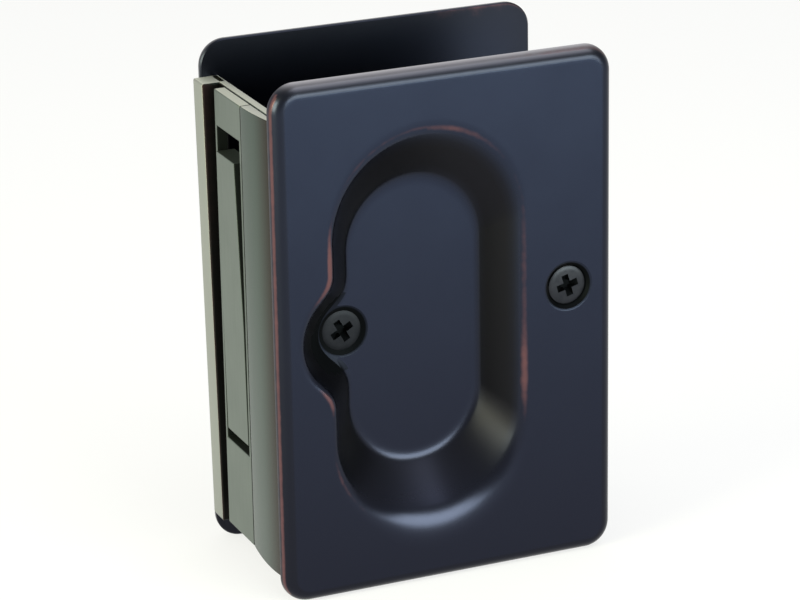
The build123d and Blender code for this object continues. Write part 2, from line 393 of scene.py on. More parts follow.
def contour(distance, level, grow=0.0):
    """Where rays from the middle of the cup meet an outline at a level, grown all round."""
    low = np.zeros(RAYS)
    high = np.full(RAYS, plate_top)
    for _ in range(40):
        middle = (low + high) / 2
        x, z = cup_x + middle * np.cos(ray_angles), mid_z + middle * np.sin(ray_angles)
        inside = distance(x, z, level) < grow
        low = np.where(inside, middle, low)
        high = np.where(inside, high, middle)
    return np.stack([cup_x + high * np.cos(ray_angles), mid_z + high * np.sin(ray_angles)], axis=1)


def cup_profile():
    """Inset from the rim and depth below the face, up the wall and over the rim, softest at its lower end."""
    floor_reach = cup_inset + floor_round * tan(cup_steepness / 2)
    rim_reach = rim_round * tan(cup_steepness / 2)
    floor_steps, wall_steps, rim_steps = 8, 6, 12
    rim_x, rim_z = contour(cup_distance, 0).T
    from_left = np.clip((rim_x - cup_x) / cup_half_width + 1, 0, 1)
    downward = np.clip((mid_z - rim_z) / cup_half_height, 0, 1)
    softness = between(1, rim_softness, from_left * from_left * (3 - 2 * from_left) * downward ** 2)
    floor = []
    for step in range(floor_steps + 1):
        turn = cup_steepness * step / floor_steps
        floor.append((floor_reach - floor_round * sin(turn), cup_depth - floor_round * (1 - cos(turn))))
    rim = []
    for step in range(rim_steps + 1):
        turn = cup_steepness * (1 - step / rim_steps)
        rim.append((softness * (rim_round * sin(turn) - rim_reach), softness * rim_round * (1 - cos(turn))))
    wall = []
    for step in range(1, wall_steps):
        wall.append([between(foot, top, step / wall_steps) for foot, top in zip(floor[-1], rim[0])])
    return floor + wall + rim


def dished_plate_rings():
    """Rings of the front plate and their depth, from the cup's floor round the edge to the floor's back."""
    middle = np.array([[cup_x, mid_z]])
    profile = cup_profile()
    floor_edge = contour(cup_distance, profile[0][0] / cup_inset)
    rings = [(between(middle, floor_edge, share), floor_depth) for share in (0.3, 0.6, 0.9, 0.98)]
    rings += [(contour(cup_distance, inset / cup_inset), depth - plate_thickness) for inset, depth in profile]
    rim_edge = rings[-1][0]
    pillow_edge = contour(plate_distance, pillow)
    for share in (0.02, 0.1, 0.35, 0.65, 0.9, 0.98):
        rings.append((between(rim_edge, pillow_edge, share), -plate_thickness))
    pillow_steps = 10
    for step in range(pillow_steps + 1):
        turn = pi / 2 * step / pillow_steps
        inset = pillow * (1 - sin(turn))
        rings.append((contour(plate_distance, inset), pillow * (1 - cos(turn)) - plate_thickness))
    rings.append((contour(plate_distance, 0), -back_bevel))
    back_edge = contour(plate_distance, back_bevel)
    grow = cup_wall / sin(cup_steepness)
    foot = contour(cup_distance, plate_thickness / cup_depth, grow)
    for share in (0.0, 0.02, 0.3, 0.6, 0.98):
        rings.append((between(back_edge, foot, share), 0))
    for share in (0.0, 0.04, 0.5, 0.96, 1.0):
        depth = floor_back * share
        rings.append((contour(cup_distance, (plate_thickness + depth) / cup_depth, grow), depth))
    back_floor = rings[-1][0]
    for share in (0.97, 0.6, 0.3):
        rings.append((between(middle, back_floor, share), floor_back))
    return rings


def dished_plate(side):
    """Shell of one plate with its cup; side is 1 in front and -1 behind."""
    rings = dished_plate_rings()
    points = []
    for ring, depth in rings:
        levels = side * (front_seat + np.broadcast_to(depth, RAYS))
        points.extend((x, level, z) for (x, z), level in zip(ring, levels))
    points.append((cup_x, side * (front_seat + floor_depth), mid_z))
    points.append((cup_x, side * (front_seat + floor_back), mid_z))
    return Shell(points, ring_faces(len(rings), RAYS))


def hole_cutter(place, head, shank, clearance, height, sunk, length):
    """Hole to be cut for a countersunk screw whose head is sunk below the face, with an eased mouth."""
    above = 0.5
    ease = 0.2
    outer_slope, inner_slope = tan(radians(14)), tan(radians(27))
    mouth = head + clearance + sunk * (head - shank) / height
    bore = shank + clearance
    profile = [
        (mouth + 2 * ease + above / outer_slope, -above),
        (mouth + ease, ease * outer_slope),
        (mouth, ease * (outer_slope + inner_slope)),
        (bore, height + sunk),
        (bore, length),
    ]
    return turned(profile, *place, 96).build("hole")


def plate_with_holes(name, wood_z, side):
    """Plate of one face with its cup and countersunk holes."""
    plate = dished_plate(side).build(name, sharp=50)
    seat = side * front_seat
    clamp_place = (clamp_x, clamp_z, seat + side * floor_depth, side)
    wood_place = (wood_x, wood_z, seat - side * plate_thickness, side)
    cut(plate, [
        hole_cutter(clamp_place, clamp_head, clamp_radius, clamp_clearance, clamp_head_height, clamp_sink,
                    cup_wall + margin),
        hole_cutter(wood_place, wood_head, wood_neck, wood_clearance, wood_head_height, wood_sink,
                    plate_thickness + margin),
    ], sharp=12)
    return plate


def flange():
    """Edge of the front casting, level with the flat plate at the seam and curved back to its own plate."""
    steps = 24
    root = 1.6
    radius = (flange_width ** 2 + flange_drop ** 2) / (2 * flange_drop)
    outline = []
    for step in range(steps + 1):
        from_seam = flange_width * (1 - step / steps)
        back = radius - (radius ** 2 - from_seam ** 2) ** 0.5
        outline.append((panel_face + back, front_seat + flange_width - from_seam))
    outline.append((panel_back, front_seat + flange_width))
    outline.append((panel_back, front_seat + root))
    outline.append((panel_back + root, front_seat + root))
    outline.append((panel_back + root, front_seat - overlap))
    outline.append((outline[0][0], front_seat - overlap))
    shell = prism(outline, edge_base, edge_top, upright)
    for index in range(len(outline)):
        x, y, z = shell.points[index]
        from_plate = max(y - front_seat, 0) / flange_width
        shell.points[index] = (x, y, z - flange_foot * (1 - from_plate ** 2))
    return shell.build("flange", bevel=edge_soft)


def lip():
    """Short edge of the rear casting, which stands out of the side of its plate and more so at its top."""
    base = edge_base - lip_foot
    low, high = lip_face + lip_tuck, lip_face - lip_lean
    outline = [(low, base), (high, edge_top), (tongue_back, edge_top), (tongue_back, base)]
    return prism(outline, rear_seat - lip_width, rear_seat + overlap, through).build("lip", bevel=lip_soft)


def tongue(name, low, high):
    """Slotted tongue of the rear casting, between two levels."""
    bar = block((tongue_face, tongue_back), (tongue_tip, rear_seat + overlap), (low, high))
    bar = bar.build(name, bevel=tongue_soft)
    middle = (low + high) / 2
    slot = arc((guide_y, middle), guide_slot, -pi / 2, pi / 2, 24)
    slot += arc((guide_y - slide_travel, middle), guide_slot, pi / 2, 3 * pi / 2, 24)
    cut(bar, [prism(slot, tongue_face - margin, tongue_back + margin, across).build("slot")])
    return bar


def front_casting():
    """Front plate and its curved flange."""
    plate = plate_with_holes("front_plate", front_wood_z, 1)
    return join("front_plate_casting", [plate, flange()])


def rear_casting():
    """Rear plate with its lip and the two sliding tongues."""
    plate = plate_with_holes("rear_plate", rear_wood_z, -1)
    lower = tongue("lower_tongue", edge_base, edge_base + tongue_height)
    upper = tongue("upper_tongue", edge_top - tongue_height, edge_top)
    return join("rear_plate_casting", [plate, lip(), lower, upper])


def edge_plate():
    """Flat plate with its window, the tab behind the flange and the lugs of the lever."""
    panel = block((panel_face, panel_back), (panel_front, panel_rear), (edge_base, edge_top)).build("panel")
    window = block(
        (panel_face - margin, panel_back + margin), (window_front, window_rear), (window_base, window_top)
    )
    cut(panel, [window.build("window")])
    soften(panel, edge_soft)
    thin_overlap = 0.05
    root = panel_back - thin_overlap
    tab_span = (mid_z - tab_half_height, mid_z + tab_half_height)
    tab = block((root, panel_back + tab_thickness), (tab_front, window_front), tab_span)
    parts = [panel, tab.build("tab", bevel=edge_soft)]
    for start in (window_front - lug_thickness, window_rear):
        outline = [(root, pivot_z - lug_radius)]
        outline += arc((pivot_x, pivot_z), lug_radius, -pi / 2, pi / 2, 24)
        outline.append((root, pivot_z + lug_radius))
        lug = prism(outline, start, start + lug_thickness, through)
        parts.append(lug.build("lug", bevel=edge_soft))
    return join("flat_edge_plate", parts)


def pull_lever():
    """Bar of the pull, with its turned-in finger lip, its pivot boss and its tapered front side."""
    back = panel_face + lever_thickness
    lip_back = panel_face + lever_lip
    base, top = lever_low[2], lever_high[2]
    opening = acos((back - pivot_x) / lever_boss)
    outline = [(panel_face, base), (panel_face - lever_lean, top), (lip_back, top)]
    outline += [(lip_back, top - lever_thickness), (back, top - lever_thickness)]
    outline += arc((pivot_x, pivot_z), lever_boss, opening, -opening, 32)
    outline.append((back, base))
    lever = prism(outline, lever_low[1], lever_high[1], through).build("edge_pull_lever")
    front = lever_low[1]
    knee = between(base, top, lever_knee)
    tip = front + lever_taper * (top + margin - knee) / (top - knee)
    wedge = [(front - margin, knee), (front, knee), (tip, top + margin), (front - margin, top + margin)]
    cut(lever, [prism(wedge, panel_face - lever_lean - margin, lip_back + margin, across).build("wedge")])
    soften(lever, edge_soft)
    return lever


def cross_cutters(x, z, start, side, head, turn):
    """Two tapered bars that cut the cross recess into a screw's head, turned about its axis."""
    cutters = []
    for angle in (turn, turn + pi / 2):
        points = []
        for level, share in ((-0.5, 1.15), (cross_depth, 0.4)):
            reach = head * cross_reach * share
            half = cross_width / 2 * (0.7 + 0.3 * share)
            for a, b in ((-reach, -half), (reach, -half), (reach, half), (-reach, half)):
                along = a * cos(angle) - b * sin(angle)
                up = a * sin(angle) + b * cos(angle)
                points.append((x + along, start + side * level, z + up))
        faces = [(0, 1, 2, 3), (7, 6, 5, 4)]
        faces += [(i, i + 4, (i + 1) % 4 + 4, (i + 1) % 4) for i in range(4)]
        cutters.append(Shell(points, faces).build("recess"))
    return cutters


def screw_body(x, z, start, side, head, profile, turn):
    """Cross-recess screw: a slightly domed head and the rest of its turned profile, without its thread."""
    brim = 0.12
    crown = [(head * share, head_dome * share ** 2) for share in (0.25, 0.5, 0.75, 0.92)]
    crown.append((head, head_dome + brim))
    screw = turned(crown + list(profile), x, z, start, side).build("screw_body", sharp=30)
    cut(screw, cross_cutters(x, z, start, side, head, turn))
    return screw


class Value:
    """One output of a node; sums and products of values add Math nodes."""

    def __init__(self, maker, socket):
        self.maker = maker
        self.socket = socket

    def join(self, operation, left, right):
        """Math node of two values or numbers."""
        return self.maker.node("ShaderNodeMath", {"operation": operation}, {0: left, 1: right})

    def __add__(self, other):
        return self.join("ADD", self, other)

    def __radd__(self, other):
        return self.join("ADD", other, self)

    def __sub__(self, other):
        return self.join("SUBTRACT", self, other)

    def __rsub__(self, other):
        return self.join("SUBTRACT", other, self)

    def __mul__(self, other):
        return self.join("MULTIPLY", self, other)

    def __rmul__(self, other):
        return self.join("MULTIPLY", other, self)


class Maker:
    """Adds nodes to one tree."""

    def __init__(self, tree):
        self.tree = tree
        tree.nodes.clear()

    def node(self, kind, settings=None, sockets=None, output=0):
        """Add a node, set it up, fill its sockets with numbers or links, and return one of its outputs."""
        made = self.tree.nodes.new(kind)
        for name, setting in (settings or {}).items():
            if name == "stops":
                self.set_stops(made.color_ramp, setting)
            else:
                setattr(made, name, setting)
        for name, value in (sockets or {}).items():
            if isinstance(value, Value):
                self.tree.links.new(value.socket, made.inputs[name])
            else:
                made.inputs[name].default_value = value
        return Value(self, made.outputs[output]) if len(made.outputs) else made

    @staticmethod
    def set_stops(ramp, stops):
        """Stops of a colour ramp, as pairs of place and grey."""
        while len(ramp.elements) < len(stops):
            ramp.elements.new(0.5)
        for element, (place, grey) in zip(ramp.elements, stops):
            element.position = place
            element.color = (grey, grey, grey, 1)

    def noise(self, scale, detail=3.0, roughness=0.5, stretch=(1, 1, 1)):
        """Noise of the place on the piece, from 0 to 1."""
        place = self.node("ShaderNodeTexCoord", output="Object")
        place = self.node("ShaderNodeMapping", {}, {"Vector": place, "Scale": stretch})
        sockets = {"Vector": place, "Scale": scale, "Detail": detail, "Roughness": roughness}
        return self.node("ShaderNodeTexNoise", {}, sockets)

    def height(self):
        """Height above the part's foot, in metres."""
        place = self.node("ShaderNodeTexCoord", output="Object")
        return self.node("ShaderNodeSeparateXYZ", {}, {"Vector": place}, "Z")

    def attribute(self, name):
        """Value painted on the mesh."""
        return self.node("ShaderNodeAttribute", {"attribute_name": name}, output="Fac")

    def step(self, value, low, high):
        """Smooth step from 0 to 1 between two values."""
        settings = {"interpolation_type": "SMOOTHSTEP"}
        return self.node("ShaderNodeMapRange", settings, {"Value": value, "From Min": low, "From Max": high})

    def blend(self, share, first, second):
        """Colour between two colours."""
        settings = {"data_type": "RGBA"}
        sockets = {0: share, 6: opaque(first), 7: opaque(second)}
        return self.node("ShaderNodeMix", settings, sockets, output=2)

    def bump(self, height, strength, distance):
        """Normal from a height."""
        return self.node("ShaderNodeBump", {}, {"Height": height, "Strength": strength, "Distance": distance})


def opaque(colour):
    """Colour with its alpha, or a link as it is."""
    return colour if isinstance(colour, Value) else (*colour, 1)


def finish(name, recipe):
    """Material whose shader sockets come from a recipe that gets a maker of nodes."""
    material = bpy.data.materials.new(name)
    material.use_nodes = True
    maker = Maker(material.node_tree)
    shader = maker.node("ShaderNodeBsdfPrincipled", {}, recipe(maker))
    maker.node("ShaderNodeOutputMaterial", {}, {"Surface": shader})
    return material


def metal(colour, roughness, normal):
    """Shader sockets of a metal."""
    return {"Base Color": colour, "Metallic": 1.0, "Roughness": roughness, "Normal": normal}


# Colours of the finishes, of the painted shade and of the painted highlights, with pairs for the dark and the
# pale spots of one
blue_black = (0.032, 0.041, 0.069)
deep_black = (0.027, 0.034, 0.058)
# Painted shade: a darker blue-black towards the bottom of the faces
low_shade_black = (0.021, 0.023, 0.036)
# Painted shade in the cups, inside the rear plate and on the round edges
wall_shade_black = (0.018, 0.018, 0.022)
pewter = (0.076, 0.103, 0.082)
# Painted shade: the brown the edge wall fades to towards the front plate and on the tongues
shade_brown = (0.038, 0.030, 0.022)
# Painted highlight: pale metal along the front plate's top edge
rubbed = (0.400, 0.390, 0.420)
copper = (0.160, 0.080, 0.082)
# Painted shade: near-black in gaps, recesses, screw holes and over the cup screws
shade_black = (0.006, 0.007, 0.008)
# Bare metal with a painted highlight on the end faces, and a painted highlight on the lip
bare_and_highlight = (0.540, 0.550, 0.500)
edge_pewters = (0.118, 0.146, 0.118), (0.156, 0.188, 0.154)
screw_blacks = (0.015, 0.017, 0.022), (0.042, 0.044, 0.051)
zinc_greys = (0.42, 0.43, 0.45), (0.60, 0.60, 0.60)
blued_greys = (0.085, 0.090, 0.115), (0.170, 0.175, 0.200)
brass_yellows = (0.50, 0.36, 0.13), (0.68, 0.52, 0.24)


def edge_wall(maker, colour):
    """Colour of a face, with painted shade in narrow gaps and pale bare metal with a painted highlight on end
    faces where painted.
    """
    colour = maker.blend(maker.attribute("gap"), colour, shade_black)
    return maker.blend(maker.attribute("end"), colour, bare_and_highlight)


def shade_and_highlight_roughness(maker):
    """What the painted shade in gaps and the pale end faces add to the roughness."""
    return 0.4 * maker.attribute("gap") + 0.35 * maker.attribute("end")


def dark_bronze(maker):
    """Oil-rubbed bronze of the castings: blue-black faces, painted shade low down, in the cups and on round
    edges, pewter edges shaded brown, a painted highlight on the top edge, copper where rubbed.
    """
    mottle = maker.noise(70, 4.0, 0.6)
    grain = maker.noise(1600, 2.0)
    rub = maker.noise(420, 4.0, 0.65)
    colour = maker.blend(mottle, deep_black, blue_black)
    # Painted shade: the faces darken towards the bottom of the plate.
    colour = maker.blend(maker.step(maker.height(), 0.115, -0.01), colour, low_shade_black)
    # Painted shade in the cup's walls, inside the rear plate and on the round edges.
    hollow = maker.attribute("hollow")
    colour = maker.blend(hollow, colour, wall_shade_black)
    # Painted shade on the edge wall: its pewter fades to a shaded brown where the tone is low.
    edge = maker.blend(maker.step(maker.attribute("tone"), 0.0, 0.9), shade_brown, pewter)
    colour = maker.blend(maker.step(maker.attribute("tone"), 0.0, 0.08), colour, edge)
    # Painted highlight along the front plate's top edge.
    colour = maker.blend(maker.attribute("polish"), colour, rubbed)
    worn = maker.step(maker.attribute("wear") + (rub - 0.5) * 0.45, 0.32, 0.95)
    colour = maker.blend(worn, colour, copper)
    roughness = 0.21 + 0.03 * mottle + 0.03 * grain + 0.12 * hollow + shade_and_highlight_roughness(maker)
    return metal(edge_wall(maker, colour), roughness, maker.bump(grain, 0.06, 0.00004))


def edge_bronze(maker):
    """The same finish on the flat edge plate and the lever, rubbed paler, with a fine upright grain."""
    mottle = maker.noise(110, 4.0, 0.6)
    grain = maker.noise(2200, 2.0, 0.5, (1, 1, 0.05))
    colour = maker.blend(mottle, *edge_pewters)
    roughness = 0.32 + 0.10 * grain + shade_and_highlight_roughness(maker)
    return metal(edge_wall(maker, colour), roughness, maker.bump(grain, 0.08, 0.00003))


def dark_screw(maker):
    """Dark plated screws, mottled, with painted shade in the cross recess and over the heads that sit in the
    cup.
    """
    mottle = maker.noise(500, 4.0, 0.6)
    shaded = maker.attribute("gap")
    colour = maker.blend(shaded, maker.blend(mottle, *screw_blacks), shade_black)
    return metal(colour, 0.32 + 0.16 * mottle + 0.3 * shaded, maker.bump(mottle, 0.1, 0.00004))


def bright_steel(maker):
    """Zinc plated steel of the small inner screws and the pin."""
    mottle = maker.noise(900, 4.0, 0.6)
    colour = maker.blend(mottle, *zinc_greys)
    return metal(colour, 0.26 + 0.14 * mottle, maker.bump(mottle, 0.05, 0.00003))


def spring_steel(maker):
    """Blued strip steel with rolling marks along the leaf."""
    grain = maker.noise(1800, 3.0, 0.5, (1, 1, 0.04))
    colour = maker.blend(grain, *blued_greys)
    return metal(colour, 0.28 + 0.14 * grain, maker.bump(grain, 0.06, 0.00002))


def plain_brass(maker):
    """Turned brass with tool marks round the sleeve."""
    marks = maker.noise(3000, 1.0, 0.5, (0.02, 1, 0.02))
    tarnish = maker.noise(160, 4.0, 0.6)
    colour = maker.blend(tarnish, *brass_yellows)
    return metal(colour, 0.26 + 0.12 * tarnish, maker.bump(marks, 0.12, 0.00003))


recipes = (dark_bronze, edge_bronze, dark_screw, bright_steel, spring_steel, plain_brass)
finishes = {recipe.__name__: finish(recipe.__name__, recipe) for recipe in recipes}

# Painted masks: slack at a limit, what counts as a level or a side face, and strengths of painted shade and
# of painted highlight
slack = 0.1
hair = 0.05
level_face = 0.8
side_face = 0.6
gap_shade_strength = 0.85
lever_shade = 0.45
cup_shade = 0.4
lip_highlight = 0.55
wood_shade_reach = 5.6
wood_shade = 0.4
clamp_shade_reach = 8.0
clamp_shade = 0.6


def places(piece):
    """Coordinates of a piece's points in millimetres, as three arrays."""
    flat = np.empty(len(piece.data.vertices) * 3)
    piece.data.vertices.foreach_get("co", flat)
    return (flat / MM).reshape(-1, 3).T


def paint(piece, name, values, domain="POINT"):
    """Store one value per point or face of a piece."""
    layer = piece.data.attributes.new(name, "FLOAT", domain)
    layer.data.foreach_set("value", np.asarray(values, dtype=np.float32))


def face_values(piece, name):
    """A vector of every face of a piece, as three arrays."""
    flat = np.empty(len(piece.data.polygons) * 3)
    piece.data.polygons.foreach_get(name, flat)
    return flat.reshape(-1, 3).T


def paint_recess(piece, x, z, start, head, shade_share=0.0):
    """Painted shade on a screw: full in the cross recess of its head, and a little all over where it sits in
    shade.
    """
    face_x, face_y, face_z = face_values(piece, "center") / MM
    inside = np.hypot(face_x - x, face_z - z) < 1.1 * cross_reach * head
    depth = np.abs(face_y - start)
    recess = inside & (depth > head_dome) & (depth < cross_depth + hair)
    paint(piece, "gap", np.maximum(shade_share, recess), "FACE")


def in_edge_wall(x, y):
    """Whether places lie in the edge wall or the tongues, between the plates."""
    return (x < tongue_back + slack) & (y > front_seat + hair) & (y < rear_seat - hair)


def face_sinks(wood_z):
    """The two screw holes of a face: place, reach of the painted shade round them and its strength."""
    return (wood_x, wood_z, wood_shade_reach, wood_shade), (clamp_x, clamp_z, clamp_shade_reach, clamp_shade)


def paint_gaps(piece, sinks=(), level_shade=gap_shade_strength):
    """Masks of painted shade in the edge wall's gaps and round sunk screws, and of bare metal with a painted
    highlight on the wall's ends and the lip.
    """
    mouth_slope, bore_slope, lip_slope = 0.99, 0.85, 0.3
    sideways, upward = np.abs(face_values(piece, "normal")[1:])
    x, y, z = face_values(piece, "center") / MM
    wall = in_edge_wall(x, y)
    at_end = (z > edge_top - slack) | (z < edge_base + slack)
    gap = wall * np.where(sideways > side_face, gap_shade_strength, level_shade * ((upward > level_face) & ~at_end))
    for sink_x, sink_z, reach, shade_share in sinks:
        near = np.hypot(x - sink_x, z - sink_z) < reach
        gap[near & (sideways < mouth_slope)] = shade_share
        gap[near & (sideways < bore_slope)] = 1
    paint(piece, "gap", gap, "FACE")
    # Pale end faces are bare metal with a painted highlight; the lip's outer face gets a weaker painted
    # highlight.
    end = wall & (upward > level_face) & at_end
    on_lip = wall & (x < lip_face + lip_tuck) & (y > rear_seat - lip_width) & (sideways < lip_slope)
    paint(piece, "end", np.where(on_lip & ~end, lip_highlight, end), "FACE")


def bump_at(x, z, middle, reach):
    """Soft spot round a place on the plate."""
    return np.exp(-((x - middle[0]) ** 2 + (z - middle[1]) ** 2) / reach ** 2)


# Where the cups' rims are rubbed to the copper: place from the plate's lower left corner, reach, strength
rim_rubs = (
    ((10.5, 68.0), 7.0, 0.95),
    ((52.0, 41.0), 10.0, 0.62),
    ((52.0, 64.0), 15.0, 0.36),
    ((36.0, 92.5), 13.0, 0.46),
    ((15.0, 24.0), 9.0, 0.34),
    ((10.5, 41.5), 3.5, 0.60),
    ((17.0, 86.0), 9.0, 0.26),
)


def hollow_shade_mask(x, z, depth, side):
    """Painted shade on the cup's walls, on the inside of the rear plate and on the round edges."""
    rim_side, upper_fade, lower_fade, edge_start = 1.0, 2.5, 18, 0.2
    front_edge, other_edge, inside = 0.5, 0.7, 0.45
    in_cup = (cup_distance(x, z) < rim_side) & (depth < cup_depth + slack)
    walls = np.clip(depth / upper_fade, 0, 1) * np.clip(cup_depth - depth, 0, 1)
    walls = walls * np.clip((z - mid_z + cup_half_height) / lower_fade, 0, 1)
    on_edge = (plate_distance(x, z) > edge_start - pillow) & (depth < plate_thickness + slack)
    round_edge = on_edge * np.where((z > plate_top - pillow) | (side < 0), other_edge, front_edge)
    inner = inside * ((side < 0) & (depth > pillow))
    return np.where(in_cup, walls, np.maximum(inner, round_edge))


def tone_mask(x, y, z, side):
    """Paleness of the edge wall, with painted shade: the flange's fades towards its plate and the tongues
    stay dark, while the lip and the upper end are pale.
    """
    fade, faintest, tongue_tone, end_band = 0.65, 0.1, 0.09, 0.3
    if side > 0:
        tone = np.clip((y - front_seat) / (fade * flange_width), faintest, 1)
    else:
        on_lip = (x < panel_back) & (y > rear_seat - lip_width + hair)
        tone = np.where(on_lip | (z > edge_top - end_band), 1.0, tongue_tone)
    return np.where(in_edge_wall(x, y), tone, 0)


def rim_wear(x, z, depth):
    """Copper along the rim of the cup, in a narrower line on its left, strongest at the rubbed places."""
    spots, rim_depth = 0.18, 2.0
    for (across_plate, up), reach, strength in rim_rubs:
        spots = spots + strength * bump_at(x, z, (plate_left + across_plate, up), reach)
    line = np.where(x < cup_x, 0.5, 0.3)
    width = np.where(x < cup_x, 0.65, 0.9)
    return spots * np.exp(-((cup_distance(x, z) - line) / width) ** 2) * (depth < rim_depth)


def edge_wear(x, z, depth, side):
    """Copper on the round edges of the plate, most of it on the left, and more in front than behind."""
    band, band_start, band_end, fade_in, fade_out = 1.6, 0.9, 2.6, 0.6, 0.8
    line, line_width, faint, bare_reach, bare_fade = 0.4, 0.5, 0.3, 40, 20
    left_rub = 0.85 if side > 0 else 0.4
    outline = plate_distance(x, z)
    on_edge = depth < plate_thickness + slack
    left = (x < plate_left + band) * (outline > -band) * on_edge
    left = left * np.clip((depth - band_start) / fade_in, 0, 1)
    left = left * np.clip((band_end - depth) / fade_out, 0.5, 1)
    toward_right = np.clip((x - plate_left - bare_reach) / bare_fade, 0, 1) * (z > plate_top - pillow)
    others = (faint + faint * toward_right) * np.exp(-((outline + line) / line_width) ** 2) * on_edge
    return np.maximum(left_rub * left, others)


def lip_wear(x, y):
    """Copper on the edge of the lip that faces the flat plate."""
    strength, reach, half_band = 0.75, 0.3, 0.4
    on_side = x < lip_face + lip_tuck + reach
    return strength * (on_side & (np.abs(y - rear_seat + lip_width) < half_band))


def paint_casting(piece, side):
    """Masks of a casting: painted shade in the hollows, the edge wall's paleness with painted shade, rubbed
    copper, and in front a painted highlight on the top edge.
    """
    x, y, z = places(piece)
    depth = side * y - front_seat + plate_thickness
    paint(piece, "hollow", hollow_shade_mask(x, z, depth, side))
    paint(piece, "tone", tone_mask(x, y, z, side))
    wear = np.maximum(rim_wear(x, z, depth), edge_wear(x, z, depth, side))
    paint(piece, "wear", np.maximum(wear, lip_wear(x, y)))
    # Painted highlight: paler metal along the top edge of the front plate only.
    polish = np.clip((z - plate_top + pillow) / pillow, 0, 1) ** 5 * (depth < plate_thickness)
    paint(piece, "polish", polish if side > 0 else 0 * polish)


def dress(piece, slot, body, nodes):
    """Give a piece its finish, the body it rides on and the nodes it stands for."""
    piece.data.materials.clear()
    piece.data.materials.append(finishes[slot])
    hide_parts(*nodes)
    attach(piece, body)
    return piece


def open_tree(name, kinds):
    """New tree of Geometry Nodes with inputs of these kinds: its maker and the values of its inputs."""
    tree = bpy.data.node_groups.new(name, "GeometryNodeTree")
    for label, kind in kinds.items():
        tree.interface.new_socket(label, in_out="INPUT", socket_type=f"NodeSocket{kind}")
    tree.interface.new_socket("Geometry", in_out="OUTPUT", socket_type="NodeSocketGeometry")
    maker = Maker(tree)
    entry = maker.node("NodeGroupInput").socket.node
    return maker, {label: Value(maker, entry.outputs[label]) for label in kinds}


def close_tree(maker, geometry, material):
    """End a tree with its geometry as real mesh in a finish."""
    geometry = maker.node("GeometryNodeRealizeInstances", {}, {"Geometry": geometry})
    geometry = maker.node("GeometryNodeSetMaterial", {}, {"Geometry": geometry, "Material": material})
    maker.node("NodeGroupOutput", {}, {"Geometry": geometry})
    return maker.tree


def thread_tree():
    """Tree that winds a thread of diamond section, tapered to its end, along Y from a place."""
    maker, given = open_tree("wound_thread", {
        "Start Radius": "Float", "End Radius": "Float", "Length": "Float", "Turns": "Float", "Tooth": "Float",
        "Place": "Vector", "Facing": "Vector", "Finish": "Material",
    })
    coil = maker.node("GeometryNodeCurveSpiral", {}, {
        "Resolution": 40, "Rotations": given["Turns"], "Start Radius": given["Start Radius"],
        "End Radius": given["End Radius"], "Height": given["Length"],
    })
    section = maker.node("GeometryNodeCurvePrimitiveCircle", {}, {"Resolution": 4, "Radius": given["Tooth"]})
    wound = maker.node("GeometryNodeCurveToMesh", {}, {
        "Curve": coil, "Profile Curve": section, "Fill Caps": True,
    })
    wound = maker.node("GeometryNodeTransform", {}, {
        "Geometry": wound, "Translation": given["Place"], "Rotation": given["Facing"],
    })
    return close_tree(maker, wound, given["Finish"])


def grown(name, tree, inputs, mesh=None):
    """Plain mesh object from a tree of Geometry Nodes with its inputs set."""
    piece = bpy.data.objects.new(name, mesh or bpy.data.meshes.new(name))
    scene.collection.objects.link(piece)
    change = piece.modifiers.new("tree", "NODES")
    change.node_group = tree
    for item in tree.interface.items_tree:
        if item.item_type == "SOCKET" and item.in_out == "INPUT" and item.name in inputs:
            change[item.identifier] = inputs[item.name]
    apply_modifiers(piece)
    return piece


winding = thread_tree()


def thread(name, x, z, start, side, radii, length, pitch, tooth):
    """Thread of a screw, from a start inwards on a side."""
    return grown(name, winding, {
        "Start Radius": (radii[0] - tooth) * MM, "End Radius": (radii[1] - tooth) * MM, "Length": length * MM,
        "Turns": length / pitch, "Tooth": tooth * MM, "Place": Vector((x, start, z)) * MM,
        "Facing": (-side * pi / 2, 0, 0), "Finish": finishes["dark_screw"],
    })


def wood_screw(name, z, side, turn):
    """Wood screw of one face, with its wound thread and sharp point."""
    start = side * (front_seat - plate_thickness + wood_sink)
    neck_step, tip_radius, bare_tip = 0.15, 0.75, 0.8
    neck_end = wood_head_height + wood_neck_length
    thread_start = neck_end + wood_run_in
    point_start = wood_length - wood_point
    profile = (
        (wood_neck, wood_head_height), (wood_radius - neck_step, neck_end), (wood_core, thread_start),
        (wood_core, point_start), (wood_tip, wood_length),
    )
    body = screw_body(wood_x, z, start, side, wood_head, profile, turn)
    shank = thread("shank_thread", wood_x, z, start + side * thread_start, side, (wood_radius, wood_radius),
                   point_start - thread_start, wood_pitch, wood_tooth)
    tip = thread("tip_thread", wood_x, z, start + side * point_start, side, (wood_radius, tip_radius),
                 wood_point - bare_tip, wood_pitch, wood_tooth)
    whole = join(name, [body, shank, tip])
    paint_recess(whole, wood_x, z, start, wood_head)
    return whole


def clamp_screw(name, node, side, turn):
    """Machine screw in the floor of one cup, with its fine thread."""
    low, high = node_box(node)
    start = low[1] if side > 0 else high[1]
    length = high[1] - low[1]
    core = clamp_radius - clamp_tooth
    run_in, chamfer = 0.4, 0.5
    profile = (
        (clamp_radius, clamp_head_height), (core, clamp_head_height + run_in), (core, length - chamfer),
        (core - run_in, length),
    )
    body = screw_body(clamp_x, clamp_z, start, side, clamp_head, profile, turn)
    wound = thread("fine_thread", clamp_x, clamp_z, start + side * (clamp_head_height + chamfer), side,
                   (clamp_radius, clamp_radius), length - clamp_head_height - 2 * chamfer, clamp_pitch,
                   clamp_tooth)
    whole = join(name, [body, wound])
    paint_recess(whole, clamp_x, clamp_z, start, clamp_head, cup_shade)
    return whole


